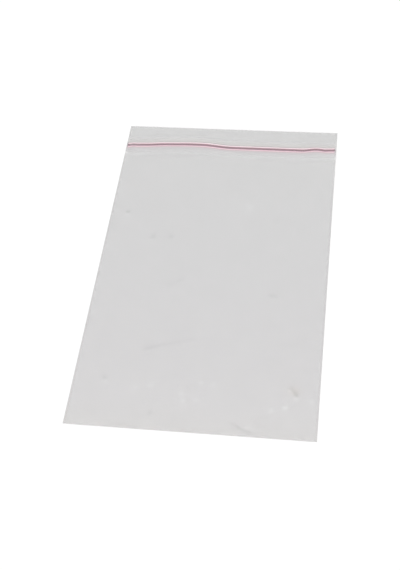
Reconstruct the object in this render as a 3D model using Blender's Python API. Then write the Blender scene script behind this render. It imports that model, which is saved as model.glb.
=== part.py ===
"""A press-to-close bag of clear polythene film, lying empty and closed on its back wall.

The film is one folded piece: its fold is the bottom of the bag, its two sides are hot-cut welds and
its top is the open mouth. Inside, a lip's length below the mouth, run the two halves of the zip: a
red strip with an arrow-headed rib on the front wall, and a clear strip with two hooked jaws on the
back wall. The rib is pressed home between the jaws, and the ends of both strips are crushed flat.

Metres, +Z up. X runs across the bag and +Y from the fold to the mouth. The back wall lies on Z = 0,
and the origin is under the middle of the bag.
"""

import math

import bmesh
import bpy

MM = 0.001

# The film, as the bag lies flat
BAG_WIDTH = 150 * MM  # between the two cut side edges
FILL_LENGTH = 230 * MM  # from the bottom fold to the middle of the zip
LIP_LENGTH = 20.5 * MM  # from the middle of the zip to the cut mouth
FILM_GAUGE = 0.1 * MM  # thickness of one wall
WALL_GAP = 0.3 * MM  # between the two walls where they lie together
WELD_WIDTH = 1.0 * MM  # from the pouch to the cut edge
WELD_BEAD = 0.4 * MM  # height of the melted bead along the cut edge
WELD_SPREAD = 3.0 * MM  # how far from a weld the walls need to reach their gap

# The zip, in section
BAND_WIDTH = 5.0 * MM  # of both strips
FLANGE = 0.2 * MM  # thickness of a strip's flat base
RIB_STEM = 0.5 * MM
RIB_HEAD = 1.1 * MM  # across the arrow's shoulders
RIB_TIP = 0.4 * MM  # across its blunt tip
HEAD_HEIGHT = 0.5 * MM
JAW_WALL = 0.35 * MM
HOOK_HEIGHT = 0.25 * MM
FIT_GAP = 0.25 * MM  # kept between the film and a strip, and between rib and jaws

# The crushed ends of the zip
CRUSH_LENGTH = 5.0 * MM
CRUSHED = 0.45  # height left at the end, as a share of the whole height
FUSED = 0.6  # height of the lump in the weld, as a share of the crushed end's height
END_GAP = 0.7 * MM  # from the weld to the end of a strip

# Ripples that lift the zip off the table: middle and half length as shares of the width, and height
ZIP_RIPPLES = (
    (-0.28, 0.145, 1.1 * MM),
    (-0.14, 0.155, 1.6 * MM),
    (0.41, 0.07, 1.1 * MM),
    (0.50, 0.065, 1.7 * MM),
)
WANDER_SHARE = 0.25  # how far the zip shifts towards the mouth, as a share of its lift
LIFT_REACH = 39 * MM  # how far into the pouch a ripple spreads
SHOULDER = 10 * MM  # width of the film's slope down from the zip's edge
END_SHOULDER = 2.5 * MM  # the same at the welds, which hold the walls together
SHOULDER_SPREAD = 30 * MM  # how far from a weld the slope needs to reach its full width

# Air left between the walls: middle across and along, half sizes, and share of AIR_HEIGHT
AIR_HEIGHT = 1.3 * MM
AIR_POCKETS = (
    (-0.14, 0.14, 0.34, 0.34, 1.0),
    (0.20, -0.08, 0.28, 0.36, 0.75),
    (-0.20, -0.30, 0.26, 0.20, 0.55),
    (0.12, -0.40, 0.34, 0.10, 0.35),
)

# How finely the film is divided
STATION_STEP = 5.0 * MM
ROW_STEP = 12.0 * MM
FOLD_STEPS = 4
CRUSH_SHARES = (0.0, 0.3, 0.65, 1.0)  # stations along a crushed end
FOLD_ROWS = (0.0, 0.08, 0.3, 1.0)  # shares of the first row's step, up from the fold
APPROACH_SHARES = (1.0, 0.75, 0.5, 0.25)  # rows where a ripple spreads into the pouch
SHOULDER_SHARES = (1.0, 0.8, 0.6, 0.4, 0.2, 0.0)  # rows down the slope beside the zip
LIP_SHARES = (0.5, 1.0)  # rows from the zip's slope to the mouth
CUT_THROUGH = 1.0 * MM  # how far the cavity's cutter runs past the mouth
MERGE = 1e-7

BAG_LENGTH = FILL_LENGTH + LIP_LENGTH
FOLD_Y = -BAG_LENGTH / 2
MOUTH_Y = BAG_LENGTH / 2
ZIP_Y = MOUTH_Y - LIP_LENGTH
WELD_X = BAG_WIDTH / 2 - WELD_WIDTH
FOLD_RADIUS = FILM_GAUGE + WALL_GAP / 2
BAND_HALF = BAND_WIDTH / 2 + FIT_GAP
SLOPE_END = BAND_HALF + SHOULDER  # from the zip's middle to where the film lies down again
GROOVE_HALF = RIB_HEAD / 2 + FIT_GAP
HOOK_HALF = RIB_STEM / 2 + FIT_GAP
JAW_HALF = GROOVE_HALF + JAW_WALL

# Heights in the closed zip, up from the underside of the jaws' base
TIP_Z = FLANGE + FIT_GAP
NECK_Z = TIP_Z + HEAD_HEIGHT
HOOK_Z = NECK_Z + FIT_GAP
JAW_TOP_Z = HOOK_Z + HOOK_HEIGHT
RIB_BASE_Z = JAW_TOP_Z + FIT_GAP
ZIP_HEIGHT = RIB_BASE_Z + FLANGE
ZIP_ROOM = ZIP_HEIGHT + 2 * FIT_GAP  # between the walls over the zip, before its ends are crushed


def smooth(share):
    """0 up to 0, 1 from 1 on, and a soft S between."""
    share = min(max(share, 0.0), 1.0)
    return share * share * (3 - 2 * share)


def hump(offset, half_length):
    """A rounded hump: 1 in its middle and 0 from half_length out."""
    share = min(abs(offset) / half_length, 1.0)
    return math.cos(share * math.pi / 2) ** 2


def crush(x):
    """Share of the zip's height that is left at x."""
    inward = WELD_X - END_GAP - abs(x)
    return CRUSHED + (1 - CRUSHED) * smooth(inward / CRUSH_LENGTH)


def zip_lift(x):
    """Height of the zip's underside over the table."""
    return sum(
        height * hump(x - place * BAG_WIDTH, half * BAG_WIDTH)
        for place, half, height in ZIP_RIPPLES
    )


def lift_share(y):
    """Share of the zip's lift that the walls follow at y, before the zip's own shift."""
    reach = LIP_LENGTH - BAND_HALF if y > ZIP_Y else LIFT_REACH
    return smooth(1 - (abs(y - ZIP_Y) - BAND_HALF) / reach)


def zip_share(x, y):
    """1 over the zip's band, 0 beyond the slope beside it."""
    widening = smooth((WELD_X - abs(x)) / SHOULDER_SPREAD)
    shoulder = END_SHOULDER + (SHOULDER - END_SHOULDER) * widening
    return smooth(1 - (abs(y - ZIP_Y) - BAND_HALF) / shoulder)


def trapped_air(x, y):
    """Height that the air adds between the walls, which dies out at the welds, fold and zip."""
    across = x / BAG_WIDTH
    along = (y - FOLD_Y) / FILL_LENGTH - 0.5
    pockets = sum(
        share * hump(across - u, half_u) * hump(along - v, half_v)
        for u, v, half_u, half_v, share in AIR_POCKETS
    )
    return AIR_HEIGHT * pockets * hump(x, WELD_X) ** 0.5


def wall_room(x, y):
    """Clear height between the two walls."""
    lying = WALL_GAP * min((WELD_X - abs(x)) / WELD_SPREAD, 1.0) + trapped_air(x, y)
    share = zip_share(x, y)
    return lying * (1 - share) + ZIP_ROOM * crush(x) * share


def shifted(x, y):
    """y of a row once the zip's shift towards the mouth has pulled it along."""
    return y + WANDER_SHARE * zip_lift(x) * lift_share(y)


def weld_lump(y):
    """Extra height of the weld where the zip's ends are melted into it."""
    return FUSED * ZIP_ROOM * CRUSHED * zip_share(WELD_X, y)


def side_stations():
    """X of every section of the open pouch, from left to right."""
    ends = WELD_X - END_GAP
    close = [WELD_X - END_GAP / 2] + [ends - CRUSH_LENGTH * share for share in CRUSH_SHARES]
    count = math.ceil(2 * close[-1] / STATION_STEP)
    even = [close[-1] * (2 * i / count - 1) for i in range(1, count)]
    return [-x for x in close] + even + close[::-1]


def rows():
    """Y of every row of the film, from the fold to the mouth, before the zip's shift."""
    start = FOLD_Y + FOLD_RADIUS
    below = ZIP_Y - SLOPE_END
    above = ZIP_Y + SLOPE_END
    lifted = ZIP_Y - BAND_HALF - LIFT_REACH
    calm = lifted - start
    count = math.ceil(calm / ROW_STEP)
    step = calm / count
    pouch = [start + step * share for share in FOLD_ROWS]
    pouch += [start + step * i for i in range(2, count)]
    pouch += [below - (below - lifted) * share for share in APPROACH_SHARES]
    outs = [BAND_HALF + SHOULDER * share for share in SHOULDER_SHARES]
    zip_rows = [ZIP_Y - out for out in outs] + [ZIP_Y + out for out in reversed(outs)]
    lip = [above + (MOUTH_Y - above) * share for share in LIP_SHARES]
    return pouch + zip_rows + lip


def fold_arc(x, low, high):
    """Points round the bottom fold, from the height low to the height high."""
    radius = (high - low) / 2
    centre_y = FOLD_Y + FOLD_RADIUS
    centre_z = (low + high) / 2
    turns = [math.pi * step / FOLD_STEPS for step in range(1, FOLD_STEPS)]
    return [
        (x, centre_y - radius * math.sin(turn), centre_z - radius * math.cos(turn))
        for turn in turns
    ]


def girth(x, places, low, high):
    """One closed section of the bag at x: down the back wall, round the fold and up the front."""
    back = [(x, shifted(x, y), low(y)) for y in reversed(places)]
    front = [(x, shifted(x, y), high(y)) for y in places]
    return back + fold_arc(x, low(places[0]), high(places[0])) + front


def back_height(x, y):
    """Height of the back wall's underside."""
    return zip_lift(x) * lift_share(y)


def outer_section(x, places):
    return girth(
        x,
        places,
        lambda y: back_height(x, y),
        lambda y: back_height(x, y) + 2 * FILM_GAUGE + wall_room(x, y),
    )


def weld_section(x, places, height):
    """A section of a side weld, height(y) thick. At the cut edge it narrows to a line."""
    return girth(
        x,
        places,
        lambda y: back_height(x, y),
        lambda y: back_height(x, y) + height(y),
    )


def line_section(x, places, middle):
    """A section that has shrunk to the line middle(y)."""
    return girth(x, places, middle, middle)


def inner_section(x, places):
    return girth(
        x,
        places,
        lambda y: back_height(x, y) + FILM_GAUGE,
        lambda y: back_height(x, y) + FILM_GAUGE + wall_room(x, y),
    )


def film_body_sections():
    """The bag as a solid block, from cut edge to cut edge."""
    places = rows()
    bead_x = BAG_WIDTH / 2 - WELD_BEAD / 2

    def fused(y):
        return 2 * FILM_GAUGE + weld_lump(y)

    def bead(y):
        return WELD_BEAD + weld_lump(y) / 2

    def side(sign):
        nose = sign * BAG_WIDTH / 2
        return [
            line_section(nose, places, lambda y: back_height(nose, y) + bead(y) / 2),
            weld_section(sign * bead_x, places, bead),
            weld_section(sign * WELD_X, places, fused),
        ]

    middle = [outer_section(x, places) for x in side_stations()]
    return side(-1) + middle + side(1)[::-1]


def cavity_sections():
    """The space inside, from weld to weld and out past the mouth."""
    places = rows()
    places.append(places[-1] + CUT_THROUGH)

    def crease(x):
        return line_section(
            x, places, lambda y: back_height(x, y) + FILM_GAUGE + weld_lump(y) / 2
        )

    middle = [inner_section(x, places) for x in side_stations()]
    return [crease(-WELD_X)] + middle + [crease(WELD_X)]


def rib_profile():
    """Half section of the red strip, from its tip's middle out and up to its flange's top."""
    return [
        (RIB_TIP / 2, TIP_Z),
        (RIB_HEAD / 2, NECK_Z - HEAD_HEIGHT / 3),
        (RIB_HEAD / 2, NECK_Z),
        (RIB_STEM / 2, NECK_Z),
        (RIB_STEM / 2, RIB_BASE_Z),
        (JAW_HALF, RIB_BASE_Z),
        (BAND_WIDTH / 2, ZIP_HEIGHT - FLANGE / 2),
        (BAND_WIDTH / 2, ZIP_HEIGHT),
    ]


def jaw_profile():
    """Half section of the clear strip, from its groove's middle out round a jaw to its base."""
    return [
        (GROOVE_HALF, FLANGE),
        (GROOVE_HALF, HOOK_Z),
        (HOOK_HALF, HOOK_Z),
        (HOOK_HALF + HOOK_HEIGHT / 2, JAW_TOP_Z),
        (GROOVE_HALF + JAW_WALL / 2, JAW_TOP_Z),
        (JAW_HALF, HOOK_Z),
        (JAW_HALF, FLANGE),
        (BAND_WIDTH / 2, FLANGE / 2),
        (BAND_WIDTH / 2, 0.0),
    ]


def strip_sections(half_profile):
    """Sections of one strip, mirrored about the zip's middle and laid along its ripples."""
    profile = half_profile + [(-across, up) for across, up in reversed(half_profile)]
    ends = WELD_X - END_GAP
    sections = []
    for x in [s for s in side_stations() if abs(s) <= ends + MERGE]:
        seat = zip_lift(x) + FILM_GAUGE + FIT_GAP * crush(x)
        middle_y = shifted(x, ZIP_Y)
        sections.append(
            [(x, middle_y + across, seat + up * crush(x)) for across, up in profile]
        )
    return sections


def loft(name, sections, capped):
    """A closed body through sections of equal point count, which run along +X."""
    shape = bmesh.new()
    rings = [[shape.verts.new(point) for point in section] for section in sections]
    count = len(rings[0])
    for left, right in zip(rings, rings[1:]):
        for i in range(count):
            j = (i + 1) % count
            shape.faces.new((left[i], left[j], right[j], right[i]))
    if capped:
        shape.faces.new(rings[0][::-1])
        shape.faces.new(rings[-1])
    shape.normal_update()
    bmesh.ops.triangulate(shape, faces=shape.faces, quad_method="FIXED")
    bmesh.ops.remove_doubles(shape, verts=shape.verts, dist=MERGE)
    bmesh.ops.dissolve_degenerate(shape, dist=MERGE, edges=shape.edges)
    bmesh.ops.recalc_face_normals(shape, faces=shape.faces)
    mesh = bpy.data.meshes.new(name)
    shape.to_mesh(mesh)
    shape.free()
    mesh.shade_smooth()
    body = bpy.data.objects.new(name, mesh)
    bpy.context.scene.collection.objects.link(body)
    return body


def plastic(name, colour, roughness, alpha):
    material = bpy.data.materials.new(name)
    material.use_nodes = True
    shader = material.node_tree.nodes["Principled BSDF"]
    shader.inputs["Base Color"].default_value = (*colour, 1.0)
    shader.inputs["Roughness"].default_value = roughness
    shader.inputs["Metallic"].default_value = 0.0
    shader.inputs["Alpha"].default_value = alpha
    return material


def make_film():
    film = loft("bag_film", film_body_sections(), capped=False)
    cavity = loft("pouch_cavity", cavity_sections(), capped=False)
    cavity.hide_render = True
    cavity.display_type = "WIRE"
    cut = film.modifiers.new("pouch", "BOOLEAN")
    cut.operation = "DIFFERENCE"
    cut.object = cavity
    film.data.materials.append(plastic("clear_film", (0.80, 0.80, 0.80), 0.25, 0.55))
    return film


def make_zip():
    rib = loft("rib_strip", strip_sections(rib_profile()), capped=True)
    rib.data.materials.append(plastic("red_polythene", (0.55, 0.04, 0.12), 0.3, 0.9))
    jaws = loft("jaw_strip", strip_sections(jaw_profile()), capped=True)
    jaws.data.materials.append(plastic("clear_polythene", (0.80, 0.80, 0.80), 0.3, 0.6))
    return rib, jaws


def clear_scene():
    for item in list(bpy.data.objects):
        bpy.data.objects.remove(item)


clear_scene()
make_film()
make_zip()
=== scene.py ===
import math

import bmesh
import bpy
import numpy as np
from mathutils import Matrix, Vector, noise


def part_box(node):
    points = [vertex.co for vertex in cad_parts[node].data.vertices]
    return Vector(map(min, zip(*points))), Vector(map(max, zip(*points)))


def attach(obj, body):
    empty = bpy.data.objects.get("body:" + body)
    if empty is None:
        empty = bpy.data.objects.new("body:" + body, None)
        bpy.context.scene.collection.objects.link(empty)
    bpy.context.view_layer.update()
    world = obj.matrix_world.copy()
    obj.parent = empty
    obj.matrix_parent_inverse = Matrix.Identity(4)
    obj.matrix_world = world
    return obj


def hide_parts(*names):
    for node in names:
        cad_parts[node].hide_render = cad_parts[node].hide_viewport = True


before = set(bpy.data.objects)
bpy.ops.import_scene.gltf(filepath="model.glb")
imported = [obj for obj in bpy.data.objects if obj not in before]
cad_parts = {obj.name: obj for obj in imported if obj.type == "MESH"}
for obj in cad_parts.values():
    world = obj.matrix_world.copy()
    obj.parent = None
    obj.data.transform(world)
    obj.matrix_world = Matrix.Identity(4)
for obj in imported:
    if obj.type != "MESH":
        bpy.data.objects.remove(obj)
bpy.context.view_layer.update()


# The rib strip, the male half of the zip: an arrow-headed rib on a thin flat base, extruded in one
# length of polythene with red dye in the rib alone. Its base is bonded to the inside of the front
# wall. It is modelled straight here, as heights over the other strip's underside, and laid after.

film_low, film_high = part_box("bag_film")
bag_width = 2 * film_high.x
lip = 0.0205
zip_y = film_high.y - lip
melt_in = 0.0005
strip_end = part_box("rib_strip")[1].x + melt_in
band_width = 0.005
base_thickness = 0.0002
clearance = 0.00025
rib_stem = 0.0005
rib_head = 0.0011
rib_tip = 0.0004
head_height = 0.0005
barb_share = 0.1
flank_share = 0.3
point_share = 0.6
hook_height = 0.00025
neck_z = base_thickness + clearance + head_height
hook_z = neck_z + clearance
rib_base_z = hook_z + hook_height + clearance
zip_height = rib_base_z + base_thickness
groove = rib_head / 2 + clearance
jaw_wall = 0.00035
jaw_out = groove + jaw_wall
strip_columns = 220
hair = 0.000001  # tells one level of points from the next


def start_grid(name, columns, rows, low, high):
    """A flat grid of faces from corner to corner, alone and in edit mode."""
    bpy.ops.object.select_all(action="DESELECT")
    bpy.ops.mesh.primitive_grid_add(x_subdivisions=columns, y_subdivisions=rows, size=1)
    piece = bpy.context.object
    piece.name = name
    piece.data.name = name
    bpy.ops.object.mode_set(mode="EDIT")
    bpy.ops.mesh.select_mode(type="FACE")
    bpy.ops.mesh.select_all(action="SELECT")
    size = Vector(high) - Vector(low)
    bpy.ops.transform.resize(value=(size.x, size.y, 1), center_override=(0, 0, 0))
    bpy.ops.transform.translate(value=(Vector(low) + Vector(high)) / 2)
    return piece


def pick_faces(piece, wanted):
    bpy.ops.mesh.select_all(action="DESELECT")
    shape = bmesh.from_edit_mesh(piece.data)
    for face in shape.faces:
        face.select_set(wanted(face))
    bmesh.update_edit_mesh(piece.data)


def push_faces(x=0.0, y=0.0, z=0.0):
    bpy.ops.mesh.extrude_region_move(TRANSFORM_OT_translate={"value": (x, y, z)})


def stretch_faces(y):
    bpy.ops.transform.resize(value=(1, y, 1), center_override=(0, zip_y, 0))


def start_strip(name, half_rows, z):
    """A flat strip along the zip at height z, with rows of points at these places on either side."""
    places = [-out for out in reversed(half_rows)] + list(half_rows)
    low = (-strip_end, zip_y - band_width / 2, z)
    high = (strip_end, zip_y + band_width / 2, z)
    piece = start_grid(name, strip_columns, len(places) - 1, low, high)
    shape = bmesh.from_edit_mesh(piece.data)
    found = sorted({round(v.co.y, 7) for v in shape.verts})
    for v in shape.verts:
        v.co.y = zip_y + places[found.index(round(v.co.y, 7))]
    bmesh.update_edit_mesh(piece.data)
    return piece


def close_up(piece):
    """Back to object mode, with all faces pointing out."""
    bpy.ops.mesh.select_all(action="SELECT")
    bpy.ops.mesh.normals_make_consistent(inside=False)
    bpy.ops.object.mode_set(mode="OBJECT")
    bpy.ops.object.select_all(action="DESELECT")


def under_the_base(face):
    middle = face.calc_center_median()
    return abs(middle.y - zip_y) < rib_stem / 2 and middle.z < rib_base_z + hair


rib_rows = (rib_stem / 2, 0.0006, jaw_out, 0.0016, 0.0020, band_width / 2)
rib = start_strip("zip_rib", rib_rows, zip_height)
push_faces(z=-base_thickness)
pick_faces(rib, under_the_base)
push_faces(z=neck_z - rib_base_z)
push_faces(z=-head_height * barb_share)
stretch_faces(rib_head / rib_stem)
push_faces(z=-head_height * flank_share)
push_faces(z=-head_height * point_share)
stretch_faces(rib_tip / rib_head)
# The base thins towards its long edges, where half its thickness is left.
shape = bmesh.from_edit_mesh(rib.data)
for v in shape.verts:
    outward = (abs(v.co.y - zip_y) - jaw_out) / (band_width / 2 - jaw_out)
    if outward > 0 and v.co.z < rib_base_z + base_thickness / 2:
        v.co.z += outward * base_thickness / 2
bmesh.update_edit_mesh(rib.data)
close_up(rib)

# The zip comes off a roll and is stiffer than the film, so the closed bag keeps a few ripples in it:
# middle and half length as shares of the width, and height. The last few millimetres of both strips
# are crushed flat between heated jaws, to seal the zip's ends, and all but reach the welds.

ripples = (
    (-0.28, 0.145, 0.0011),
    (-0.14, 0.155, 0.0016),
    (0.41, 0.07, 0.0011),
    (0.50, 0.065, 0.0017),
)
shift_share = 0.25
gauge = 0.0001
weld_width = 0.001
weld_x = bag_width / 2 - weld_width
crush_length = 0.005
crushed = 0.45
end_drift = 0.0004
dip_x = -0.067
dip_half = 0.006
dip_drift = 0.00022
dye_shift = -0.00006
left_fade = 0.5
left_fade_length = 0.018
right_fade = 0.1
slow_fade = 0.07


def soft_step(share):
    share = np.clip(share, 0.0, 1.0)
    return share * share * (3 - 2 * share)


def hump(offset, half_length):
    share = np.minimum(np.abs(offset) / half_length, 1.0)
    return np.cos(share * math.pi / 2) ** 2


def zip_lift(x):
    """Height of the zip's underside over the table."""
    return sum(
        height * hump(x - place * bag_width, half * bag_width) for place, half, height in ripples
    )


def crush(x):
    """Share of the zip's height that is left at x."""
    return crushed + (1 - crushed) * soft_step((strip_end - np.abs(x)) / crush_length)


def zip_drift(x):
    """How far the zip stands off its straight line: ripples and crushed ends carry it towards the
    mouth, and one short dip near the left end carries it back."""
    at_ends = end_drift * (1 - crush(x)) / (1 - crushed)
    return shift_share * zip_lift(x) + at_ends - dip_drift * hump(x - dip_x, dip_half)


def points_of(piece):
    places = np.empty(len(piece.data.vertices) * 3)
    piece.data.vertices.foreach_get("co", places)
    return places.reshape(-1, 3)


def set_points(piece, places):
    piece.data.vertices.foreach_set("co", places.ravel())
    piece.data.update()


def set_values(piece, name, values):
    """Keeps one number at each point of the piece, for its material."""
    kept = piece.data.attributes.new(name, "FLOAT", "POINT")
    kept.data.foreach_set("value", values)


def lay_strip(piece):
    """Bends a straight strip along the zip's ripples and crushes its ends, where its dye fades."""
    places = points_of(piece)
    x = places[:, 0]
    set_values(piece, "across", places[:, 1] - zip_y + dye_shift)
    squeeze = crush(x)
    left_end = left_fade * soft_step(1 - (x + strip_end) / left_fade_length)
    right_end = right_fade * (1 - squeeze) / (1 - crushed)
    end_fade = np.where(x < 0, left_end, right_end)
    set_values(piece, "faded", end_fade + slow_fade * (1 - x / strip_end))
    places[:, 1] += zip_drift(x)
    places[:, 2] = zip_lift(x) + gauge + (clearance + places[:, 2]) * squeeze
    set_points(piece, places)


def smooth_over(piece, degrees):
    bpy.context.view_layer.objects.active = piece
    piece.select_set(True)
    bpy.ops.object.shade_smooth_by_angle(angle=math.radians(degrees))
    piece.select_set(False)


lay_strip(rib)
smooth_over(rib, 35)


def new_plastic(name):
    """A new material, with its node tree and its Principled shader."""
    material = bpy.data.materials.new(name)
    material.use_nodes = True
    return material, material.node_tree, material.node_tree.nodes["Principled BSDF"]


def feed(tree, given, socket):
    """Links another node's output into the socket, or sets a fixed number or colour there."""
    if isinstance(given, bpy.types.NodeSocket):
        tree.links.new(given, socket)
    elif isinstance(given, tuple):
        socket.default_value = (*given, 1)
    else:
        socket.default_value = given


def point_value(tree, name):
    node = tree.nodes.new("ShaderNodeAttribute")
    node.attribute_name = name
    return node.outputs["Fac"]


def share_of(tree, value, low, high, start=0.0, end=1.0):
    """Runs from start to end while the value runs from low to high."""
    node = tree.nodes.new("ShaderNodeMapRange")
    tree.links.new(value, node.inputs["Value"])
    feed(tree, low, node.inputs["From Min"])
    feed(tree, high, node.inputs["From Max"])
    feed(tree, start, node.inputs["To Min"])
    feed(tree, end, node.inputs["To Max"])
    return node.outputs["Result"]


def ramp(tree, share, stops):
    """Colours along a share from 0 to 1. A stop is its place, and a grey or red, green and blue."""
    node = tree.nodes.new("ShaderNodeValToRGB")
    while len(node.color_ramp.elements) < len(stops):
        node.color_ramp.elements.new(0.5)
    for element, (place, colour) in zip(node.color_ramp.elements, stops):
        element.position = place
        element.color = (*colour, 1) if isinstance(colour, tuple) else (colour, colour, colour, 1)
    tree.links.new(share, node.inputs["Fac"])
    return node.outputs["Color"]


def mirrored(stops):
    """The stops given, then the same ones backwards for the other half."""
    return stops + tuple((1 - place, colour) for place, colour in reversed(stops))


def blend(tree, factor, under, over, way="MIX"):
    """Mixes two colours. A Mix node has them in sockets 6 and 7, and its result in 2."""
    node = tree.nodes.new("ShaderNodeMix")
    node.data_type = "RGBA"
    node.blend_type = way
    feed(tree, factor, node.inputs["Factor"])
    feed(tree, under, node.inputs[6])
    feed(tree, over, node.inputs[7])
    return node.outputs[2]


def combine(tree, way, first, second):
    node = tree.nodes.new("ShaderNodeMath")
    node.operation = way
    feed(tree, first, node.inputs[0])
    feed(tree, second, node.inputs[1])
    return node.outputs[0]


# Blown polythene is faintly hazy: streaks of haze run along the zip, the way the web was drawn, and
# fine scuffs lie over them. Every plastic here has both, in its own strength.

streak_scale = (60, 400, 60)
streak_detail = 3
scuff_scale = 260
scuff_detail = 4
noise_low = 0.3
noise_high = 0.7
haze = bpy.data.node_groups.new("polythene_haze", "ShaderNodeTree")
haze.interface.new_socket("Vector", in_out="INPUT", socket_type="NodeSocketVector")
haze.interface.new_socket("Streaks", in_out="OUTPUT", socket_type="NodeSocketFloat")
haze.interface.new_socket("Scuffs", in_out="OUTPUT", socket_type="NodeSocketFloat")
entry = haze.nodes.new("NodeGroupInput")
leave = haze.nodes.new("NodeGroupOutput")
stretch = haze.nodes.new("ShaderNodeMapping")
stretch.inputs["Scale"].default_value = streak_scale
haze.links.new(entry.outputs["Vector"], stretch.inputs["Vector"])
streaks = haze.nodes.new("ShaderNodeTexNoise")
streaks.inputs["Scale"].default_value = 1.0
streaks.inputs["Detail"].default_value = streak_detail
haze.links.new(stretch.outputs["Vector"], streaks.inputs["Vector"])
haze.links.new(streaks.outputs["Fac"], leave.inputs["Streaks"])
scuffs = haze.nodes.new("ShaderNodeTexNoise")
scuffs.inputs["Scale"].default_value = scuff_scale
scuffs.inputs["Detail"].default_value = scuff_detail
haze.links.new(entry.outputs["Vector"], scuffs.inputs["Vector"])
haze.links.new(scuffs.outputs["Fac"], leave.inputs["Scuffs"])


def add_haze(tree, shader, smoothest, roughest, depth):
    """Places the haze in a material, in its roughness and its bump, and returns the streaks."""
    coords = tree.nodes.new("ShaderNodeTexCoord")
    texture = tree.nodes.new("ShaderNodeGroup")
    texture.node_tree = haze
    tree.links.new(coords.outputs["Object"], texture.inputs["Vector"])
    scuffed = texture.outputs["Scuffs"]
    dull = share_of(tree, scuffed, noise_low, noise_high, start=smoothest, end=roughest)
    tree.links.new(dull, shader.inputs["Roughness"])
    bump = tree.nodes.new("ShaderNodeBump")
    bump.inputs["Distance"].default_value = depth
    tree.links.new(texture.outputs["Streaks"], bump.inputs["Height"])
    tree.links.new(bump.outputs["Normal"], shader.inputs["Normal"])
    return texture.outputs["Streaks"]


# Across the strip the dye is deep red in the rib and runs out into a pink band on either side. The
# palest, nearly white part of each band is a painted highlight, paler on the mouth's side, and each
# band is darker at its outer edges.
red, tree, shader = new_plastic("dyed_polythene_painted_highlight")
add_haze(tree, shader, 0.28, 0.42, 0.00002)
across = share_of(tree, point_value(tree, "across"), -band_width / 2, band_width / 2)
dye_and_painted_highlight = ramp(
    tree,
    across,
    (
        (0.015, (0.78, 0.55, 0.61)),
        (0.10, (0.93, 0.68, 0.75)),
        (0.21, (0.97, 0.69, 0.76)),
        (0.32, (0.42, 0.30, 0.375)),
        (0.395, (0.22, 0.010, 0.052)),
        (0.50, (0.17, 0.004, 0.040)),
        (0.605, (0.22, 0.010, 0.052)),
        (0.68, (0.69, 0.38, 0.455)),
        (0.79, (0.97, 0.85, 0.87)),
        (0.90, (0.98, 0.86, 0.88)),
        (0.985, (0.70, 0.58, 0.62)),
    ),
)
core = ramp(tree, across, mirrored(((0.36, 0), (0.42, 1))))
core_fade = combine(tree, "MULTIPLY", point_value(tree, "faded"), core)
tree.links.new(blend(tree, core_fade, dye_and_painted_highlight, (0.42, 0.36, 0.37)), shader.inputs["Base Color"])
rib.data.materials.append(red)
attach(rib, "root")
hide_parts("rib_strip")


# The jaw strip, the female half of the zip: two jaws with inward hooks on a thin flat base, all of
# clear polythene, bonded to the inside of the back wall. The rib's head is held under the hooks.

hook = rib_stem / 2 + clearance
lower_share = 0.1
upper_share = 0.9


def over_the_jaws(face):
    middle = face.calc_center_median()
    return groove < abs(middle.y - zip_y) < jaw_out and middle.z > base_thickness - hair


def inner_side(v):
    return abs(v.co.y - zip_y) < (groove + jaw_out) / 2


jaw_rows = (0.0003, groove, jaw_out, 0.0018, band_width / 2)
jaws = start_strip("zip_jaws", jaw_rows, 0)
push_faces(z=base_thickness)
pick_faces(jaws, over_the_jaws)
push_faces(z=hook_z - base_thickness)
push_faces(z=hook_height * lower_share)
shape = bmesh.from_edit_mesh(jaws.data)
for v in shape.verts:
    if v.select and inner_side(v):
        v.co.y = zip_y + math.copysign(hook, v.co.y - zip_y)
bmesh.update_edit_mesh(jaws.data)
push_faces(z=hook_height * upper_share)
shape = bmesh.from_edit_mesh(jaws.data)
for v in shape.verts:
    if v.select:
        reach = hook + hook_height / 2 if inner_side(v) else groove + jaw_wall / 2
        v.co.y = zip_y + math.copysign(reach, v.co.y - zip_y)
bmesh.update_edit_mesh(jaws.data)
close_up(jaws)
lay_strip(jaws)
smooth_over(jaws, 35)

clear, tree, shader = new_plastic("clear_polythene")
cloud = ramp(tree, add_haze(tree, shader, 0.25, 0.38, 0.00002), ((0.3, 0.80), (0.7, 0.88)))
tree.links.new(cloud, shader.inputs["Base Color"])
shader.inputs["Alpha"].default_value = 0.9
jaws.data.materials.append(clear)
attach(jaws, "root")
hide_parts("jaw_strip")


# The bag's film, one piece: folded at the bottom, with both sides cut and welded by one stroke of a
# hot knife, which leaves a fine melted bead along each cut edge. The mouth is cut and left open.
# It is drawn as a flat block of five levels: its two walls' skins are levels 0, 1, 3 and 4.

columns = 112
rows = 176
weld_columns = 2
block_half = 0.5
level = 0.01
pouch_edge = block_half - weld_columns / columns


def in_the_mouth(face):
    middle = face.calc_center_median()
    return (
        middle.y > block_half - hair
        and abs(middle.x) < pouch_edge
        and level < middle.z < 3 * level
    )


film = start_grid("bag", columns, rows, (-block_half, -block_half, 0), (block_half, block_half, 0))
for _ in range(4):
    push_faces(z=level)
pick_faces(film, in_the_mouth)
for _ in range(rows - 1):
    push_faces(y=-1 / rows)
close_up(film)

# The walls lie on each other from weld to weld, and rise over the zip and over what air is left in.
# Each pocket of air has its middle and half size, as shares of the pouch, and its share of the
# height.

wall_gap = 0.0003
weld_spread = 0.003
least_gap = 0.06
bead = 0.0004
fused = 0.6
run_down = 0.8
shoulder = 0.010
end_shoulder = 0.005
shoulder_spread = 0.030
band_half = band_width / 2 + clearance
lift_reach = 0.039
fill_length = zip_y - film_low.y
air_height = 0.0013
air_pockets = (
    (-0.14, 0.14, 0.34, 0.34, 1.0),
    (0.20, -0.08, 0.28, 0.36, 0.75),
    (-0.20, -0.30, 0.26, 0.20, 0.55),
    (0.12, -0.40, 0.34, 0.10, 0.35),
)
zip_room = zip_height + 2 * clearance
calm_sides = 0.008
calm_fold = 0.006


def lift_share(y):
    """Share of the zip's lift that the walls follow at y."""
    reach = np.where(y > zip_y, lip - band_half, lift_reach)
    return soft_step(1 - (np.abs(y - zip_y) - band_half) / reach)


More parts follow.
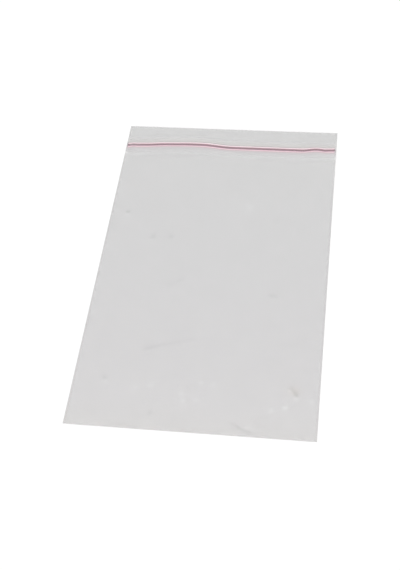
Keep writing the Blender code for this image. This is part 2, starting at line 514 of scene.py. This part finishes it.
def shoulder_width(x):
    """Length of the slope beside the zip, which is steeper near the welds."""
    return end_shoulder + (shoulder - end_shoulder) * soft_step((weld_x - np.abs(x)) / shoulder_spread)


def zip_share(x, y):
    """1 over the zip's band, 0 beyond the slope beside it."""
    return soft_step(1 - (np.abs(y - zip_y) - band_half) / shoulder_width(x))


def trapped_air(x, y):
    u = x / bag_width
    v = (y - film_low.y) / fill_length - 0.5
    pockets = sum(
        share * hump(u - middle_u, half_u) * hump(v - middle_v, half_v)
        for middle_u, middle_v, half_u, half_v, share in air_pockets
    )
    return air_height * pockets * hump(x, weld_x) ** 0.5


def wall_room(x, y):
    """Height between the two walls."""
    closing = np.clip((weld_x - np.abs(x)) / weld_spread, least_gap, 1.0)
    lying = wall_gap * closing + trapped_air(x, y)
    share = zip_share(x, y)
    return lying * (1 - share) + zip_room * crush(x) * share


def calm_share(x, y):
    """1 in the open wall, dying out towards the welds, the fold and the zip."""
    sides = soft_step((weld_x - np.abs(x)) / calm_sides)
    return sides * soft_step((y - film_low.y) / calm_fold) * (1 - zip_share(x, y))


# Handling marks in the front wall: small dents and pimples as (x, y, radius, height), creases as
# (x, y of each end, half width, height), and one brownish stain as (x, y, radius), all in
# millimetres. The film's own waviness is (turns to a millimetre each way, layer of noise, height).

# The heights of the dents and creases also set the shade painted into them, and the pimples' heights
# set the glint painted onto them.
in_mm = 1000
dents = (
    (-63.0, 42.3, 1.25, -0.95),
    (-63.1, 39.7, 1.4, 0.38),
    (-42.3, 21.2, 1.4, -0.58),
    (-30.4, 21.8, 1.5, -0.52),
    (19.5, 50.9, 1.9, 0.32),
    (38.6, 41.2, 1.8, -0.30),
    (18.9, 101.7, 1.6, -0.30),
    (-8.5, 104.2, 1.6, -0.20),
    (-19.7, -14.3, 1.3, -0.50),
    (-26.0, -18.0, 1.3, -0.38),
    (-54.4, -94.4, 1.3, 0.30),
    (3.6, -91.0, 1.2, 0.34),
    (11.0, -92.2, 1.2, 0.36),
    (-7.4, -99.6, 1.1, 0.34),
    (-5.5, -104.6, 1.1, 0.44),
    (2.2, -103.4, 1.2, 0.32),
    (-26.3, -95.1, 1.5, 0.28),
    (-35.2, -97.0, 1.3, 0.28),
    (-24.1, -113.6, 1.3, -0.50),
    (34.2, -119.4, 1.2, 0.20),
    (47.3, -107.0, 1.2, 0.34),
    (55.3, -104.6, 1.3, 0.50),
    (57.2, -92.6, 1.1, 0.32),
    (61.2, -98.0, 1.2, 0.31),
    (70.6, -99.0, 1.2, 0.30),
)
creases = (
    (-34.6, -69.6, -5.4, -59.2, 1.0, -0.25),
    (-31.4, -68.2, -27.4, -66.4, 1.0, -0.10),
    (57.6, -90.6, 58.6, -91.8, 1.1, -0.40),
    (60.0, -93.1, 61.8, -94.9, 1.0, -0.56),
    (24.6, -117.3, 36.9, -123.6, 0.9, -0.40),
    (44.4, -60.7, 63.1, -57.5, 0.9, -0.12),
    (39.8, -23.0, 43.2, -23.4, 0.9, -0.50),
    (-56.3, -91.4, -54.9, -91.5, 1.0, -0.55),
)
crease_tip = 1.0
stain = (59.8, -92.6, 3.5)
waviness = (
    (0.045, 0.03, 3.0, 0.35),
    (0.16, 0.11, 8.0, 0.06),
)
mark_reach = 4
deepest = 0.4


def gaussian(offset, width):
    return np.exp(-((offset / width) ** 2))


def marks(x, y):
    """Height of the handling marks, with x, y and the result in millimetres."""
    height = np.zeros_like(x)
    for mark_x, mark_y, radius, rise in dents:
        height += rise * gaussian(np.hypot(x - mark_x, y - mark_y), radius)
    for start_x, start_y, end_x, end_y, half_width, rise in creases:
        length = math.hypot(end_x - start_x, end_y - start_y)
        along_x = (end_x - start_x) / length
        along_y = (end_y - start_y) / length
        along = (x - start_x) * along_x + (y - start_y) * along_y
        beyond = np.maximum(np.maximum(-along, along - length), 0)
        off = (x - start_x) * along_y - (y - start_y) * along_x
        height += rise * gaussian(off, half_width) * gaussian(beyond, crease_tip)
    return height


def unevenness(x, y):
    """Height of the film's own slight waviness, with x, y and the result in millimetres."""
    return np.array(
        [
            sum(
                noise.noise(Vector((a * turns_x, b * turns_y, layer))) * height
                for turns_x, turns_y, layer, height in waviness
            )
            for a, b in zip(x, y)
        ]
    )


# The block's columns and rows are given their places first: three columns at each weld, and rows
# that crowd together at the zip and at the fold.

places = points_of(film)
column = np.rint((places[:, 0] + block_half) * columns)
row = np.rint((places[:, 1] + block_half) * rows)
step = np.rint(places[:, 2] / level)

weld_foot = 0.00015
row_samples = 4001
zip_density = 2.2
fold_density = 1.2
fold_reach = 0.002
weld_side = [bag_width / 2 - bead / 3, bag_width / 2 - bead, weld_x]
open_x = weld_x - weld_foot
column_places = np.linspace(-open_x, open_x, columns + 1 - 2 * len(weld_side))
column_places = np.concatenate((-np.array(weld_side), column_places, weld_side[::-1]))
x = np.interp(column, np.arange(columns + 1), column_places)
fold_centre = film_low.y + gauge + wall_gap / 2
finer = np.linspace(fold_centre, film_high.y, row_samples)
at_the_fold = np.exp(-(finer - fold_centre) / fold_reach)
density = 1 + zip_density * zip_share(0, finer) + fold_density * at_the_fold
grown = np.concatenate(([0], np.cumsum((density[1:] + density[:-1]) / 2)))
row_places = np.interp(np.linspace(0, grown[-1], rows), grown, finer)
y = np.interp(row, np.arange(1, rows + 1), row_places)

# Then the heights: the back wall lies low, the front wall high over it. The zip's ends are melted
# into the welds as a lump, which runs down towards the cut edge.

off_the_zip = y - zip_y
low = zip_lift(x) * lift_share(y)
in_weld = np.abs(x) > weld_x + hair
at_weld = np.abs(x) > weld_x - hair
edge = np.clip((np.abs(x) - weld_x) / (bag_width / 2 - weld_x), 0, 1)
lump = fused * zip_room * crushed * zip_share(weld_x, y) * (1 - run_down * edge)
room = np.where(in_weld, lump + (bead - 2 * gauge) * edge**2, wall_room(x, y))
room = np.maximum(room, np.where(at_weld, lump, 0))
high = low + 2 * gauge + room
in_front = step > 1
marked = np.zeros_like(x)
pressed = np.zeros_like(x)
chosen = in_front & ~in_weld
calm = calm_share(x[chosen], y[chosen])
x_mm = x[chosen] * in_mm
y_mm = y[chosen] * in_mm
pressed[chosen] = marks(x_mm, y_mm) * np.minimum(calm * mark_reach, 1)
marked[chosen] = (pressed[chosen] + unevenness(x_mm, y_mm) * calm) / in_mm
marked = np.maximum(marked, -deepest * room)
z = np.select(
    [step <= 1, step < 3],
    [low + gauge * step, (low + high) / 2],
    high - gauge * (4 - step) + marked,
)

# Last, the block's sides are rounded into the beads and its near end into the fold.

bead_profile = (0, 0.75, 1, 0.75, 0)
fold_turns = (25, 55, 90, 125, 155)
at_side = (column < 0.5) | (column > columns - 0.5)
x = np.where(at_side, x + np.sign(x) * np.interp(step, range(5), bead_profile) * bead / 3, x)
z = np.where(at_side & (step > 0) & (step < 4), low + (high - low) * step / 4, z)
at_fold = row < 0.5
turn = np.interp(step, range(5), np.radians(fold_turns))
radius = (high - low) / 2
y = np.where(at_fold, fold_centre - radius * np.sin(turn), y)
z = np.where(at_fold, (low + high) / 2 - radius * np.cos(turn), z)
pocket_end = (row < 1.5) & (row > 0.5) & (step == 2) & (np.abs(x) < weld_x + hair)
y = np.where(pocket_end, y - (radius - gauge), y)
y += zip_drift(x) * lift_share(y)
set_points(film, np.stack((x, y, z), 1))

dye_loss = 0.85
stain_off = np.hypot(x * in_mm - stain[0], y * in_mm - stain[1])
set_values(film, "melted", (at_weld | at_fold).astype(float))
set_values(film, "off_the_zip", np.where(in_front, off_the_zip, -shoulder))
set_values(film, "pressed", pressed)
set_values(film, "off_line", off_the_zip)
set_values(film, "sealed", np.where(np.abs(x) > open_x - hair, 1 - dye_loss * edge, 0))
set_values(film, "stained", np.where(in_front, gaussian(stain_off, stain[2]), 0))
smooth_over(film, 50)

# The film's colour: a little paler towards the fold, with painted light and shade on the slopes beside
# the zip, painted shade in a dent or crease, a painted glint on a pimple, brownish at the stain, and
# dyed where the zip's ends are melted into the welds.
full_dent = 0.8
full_pimple = 0.5
plastic, tree, shader = new_plastic("clear_film")
tone = ramp(tree, add_haze(tree, shader, 0.34, 0.48, 0.00001), ((0.25, 0.93), (0.75, 1.0)))
coords = tree.nodes.new("ShaderNodeTexCoord")
place = tree.nodes.new("ShaderNodeSeparateXYZ")
tree.links.new(coords.outputs["Object"], place.inputs[0])
lengthwise = ramp(
    tree,
    share_of(tree, place.outputs["Y"], film_low.y, film_high.y),
    (
        (0.0, (0.908, 0.884, 0.875)),
        (0.08, (0.894, 0.872, 0.881)),
        (0.24, (0.875, 0.856, 0.867)),
        (0.50, (0.863, 0.852, 0.860)),
        (1.0, (0.859, 0.856, 0.853)),
    ),
)
off_zip = share_of(tree, point_value(tree, "off_the_zip"), -shoulder, shoulder)
streaked = ramp(tree, off_zip, mirrored(((0.0, 1), (0.08, 0.3))))
open_wall = blend(tree, streaked, lengthwise, tone, "MULTIPLY")
# Painted light and shade beside the zip: the slopes are lightened to cancel the shade that falls on
# them, and the bands close to the rib stay darker and turn pinkish.
painted_light_beside_zip = ramp(
    tree,
    off_zip,
    (
        (0.0, 0.815),
        (0.05, 0.853),
        (0.08, 0.885),
        (0.11, 0.954),
        (0.14, 1.0),
        (0.19, (0.945, 0.943, 0.945)),
        (0.235, (0.925, 0.915, 0.923)),
        (0.275, (0.895, 0.880, 0.890)),
        (0.308, (0.880, 0.850, 0.866)),
        (0.343, (0.885, 0.810, 0.830)),
        (0.37, (0.830, 0.680, 0.710)),
        (0.40, 0.815),
        (0.46, (0.815, 0.735, 0.772)),
        (0.54, (0.815, 0.735, 0.772)),
        (0.60, 0.815),
        (0.63, (0.913, 0.878, 0.879)),
        (0.658, (0.872, 0.842, 0.834)),
        (0.70, (0.890, 0.875, 0.868)),
        (0.745, (0.905, 0.895, 0.890)),
        (0.795, (0.932, 0.928, 0.913)),
        (0.845, (0.950, 0.940, 0.935)),
        (0.90, (0.905, 0.888, 0.897)),
        (0.95, (0.857, 0.850, 0.855)),
        (1.0, 0.815),
    ),
)
toned = blend(tree, 1.0, open_wall, painted_light_beside_zip, "MULTIPLY")
# Painted shade in the dents and creases, and a painted glint on the pimples, by the height of each
# mark.
mark = point_value(tree, "pressed")
shade = ramp(tree, share_of(tree, mark, -full_dent, full_dent), ((0.0, 0.33), (0.5, 0.90), (0.75, 1)))
shaded = blend(tree, 1.0, toned, shade, "MULTIPLY")
lit = blend(tree, share_of(tree, mark, 0.0, full_pimple), shaded, (0.96, 0.97, 0.97))
stained = blend(tree, point_value(tree, "stained"), lit, (1.0, 0.94, 0.86), "MULTIPLY")
off_line = share_of(tree, point_value(tree, "off_line"), -band_width / 2, band_width / 2)
run_in = ramp(
    tree,
    off_line,
    mirrored(
        (
            (0.10, 1),
            (0.25, (1.0, 0.94, 0.96)),
            (0.39, (0.95, 0.85, 0.88)),
            (0.44, (0.50, 0.38, 0.41)),
        )
    ),
)
sealed = point_value(tree, "sealed")
dyed = blend(tree, sealed, stained, run_in, "MULTIPLY")
tree.links.new(dyed, shader.inputs["Base Color"])

# How much the film hides of what lies behind it: most where it leaves the zip's edges, least over
# the pink bands. At a weld that all but goes: it is cloudy all along, and dyed at the zip's ends.
melt_cover = 0.54
weld_thinning = 0.3
zip_cover = ramp(
    tree,
    off_zip,
    (
        (0.0, 0.22),
        (0.15, 0.30),
        (0.31, 0.80),
        (0.375, 0.80),
        (0.40, 0.04),
        (0.44, 0.04),
        (0.465, 0.22),
        (0.535, 0.22),
        (0.56, 0.04),
        (0.60, 0.04),
        (0.625, 0.80),
        (0.69, 0.80),
        (0.85, 0.38),
        (1.0, 0.22),
    ),
)
melted = point_value(tree, "melted")
thinned = share_of(tree, melted, 0.0, 1.0, start=1.0, end=weld_thinning)
wall_cover = combine(tree, "MULTIPLY", zip_cover, thinned)
melted_cover = combine(tree, "MULTIPLY", melted, melt_cover)
dyed_in = ramp(tree, off_line, mirrored(((0.37, 0), (0.45, 0.70))))
sealed_cover = combine(tree, "MULTIPLY", sealed, dyed_in)
weld_cover = combine(tree, "MAXIMUM", melted_cover, sealed_cover)
tree.links.new(combine(tree, "MAXIMUM", wall_cover, weld_cover), shader.inputs["Alpha"])
film.data.materials.append(plastic)
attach(film, "root")
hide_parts("bag_film")


# The studio: a plain white floor that keeps the bag's soft shadow, one broad soft light overhead and
# an even white surround. The camera stands where the photo's did.

bpy.ops.mesh.primitive_plane_add(size=3.0, location=(0, 0, -0.00005))
floor = bpy.context.object
floor.name = "floor"
white, tree, shader = new_plastic("floor_white")
shader.inputs["Base Color"].default_value = (0.9, 0.9, 0.9, 1)
shader.inputs["Roughness"].default_value = 0.8
shader.inputs["Specular IOR Level"].default_value = 0.1
glow = tree.nodes.new("ShaderNodeEmission")
glow.inputs["Strength"].default_value = 1.05
path = tree.nodes.new("ShaderNodeLightPath")
either = tree.nodes.new("ShaderNodeMixShader")
glowing = combine(tree, "MULTIPLY", path.outputs["Is Camera Ray"], 0.7)
tree.links.new(glowing, either.inputs["Fac"])
tree.links.new(shader.outputs["BSDF"], either.inputs[1])
tree.links.new(glow.outputs["Emission"], either.inputs[2])
tree.links.new(either.outputs["Shader"], tree.nodes["Material Output"].inputs["Surface"])
floor.data.materials.append(white)

surround = bpy.data.worlds.new("surround")
surround.use_nodes = True
tree = surround.node_tree
even = tree.nodes["Background"]
even.inputs["Color"].default_value = (1, 1, 1, 1)
seen = tree.nodes.new("ShaderNodeLightPath")
brightness = share_of(tree, seen.outputs["Is Camera Ray"], 0.0, 1.0, start=0.75, end=1.0)
tree.links.new(brightness, even.inputs["Strength"])
bpy.context.scene.world = surround

bpy.ops.object.light_add(type="AREA", location=(0.1, -0.2, 2.4))
lamp = bpy.context.object
lamp.data.shape = "SQUARE"
lamp.data.size = 2.0
lamp.data.energy = 26
lamp.rotation_euler = (-lamp.location).to_track_quat("-Z", "Y").to_euler()

focal_pixels = 1069.413
picture_height = 570
bpy.ops.object.camera_add(location=(0.08561, -0.42899, 0.54429))
camera = bpy.context.object
camera.rotation_euler = [math.radians(turn) for turn in (37.6023, 4.2056, 7.1387)]
camera.data.sensor_width = 36
camera.data.lens = focal_pixels * camera.data.sensor_width / picture_height
camera.data.clip_start = 0.01
camera.data.clip_end = 20
bpy.context.scene.camera = camera
bpy.context.scene.view_settings.view_transform = "Standard"
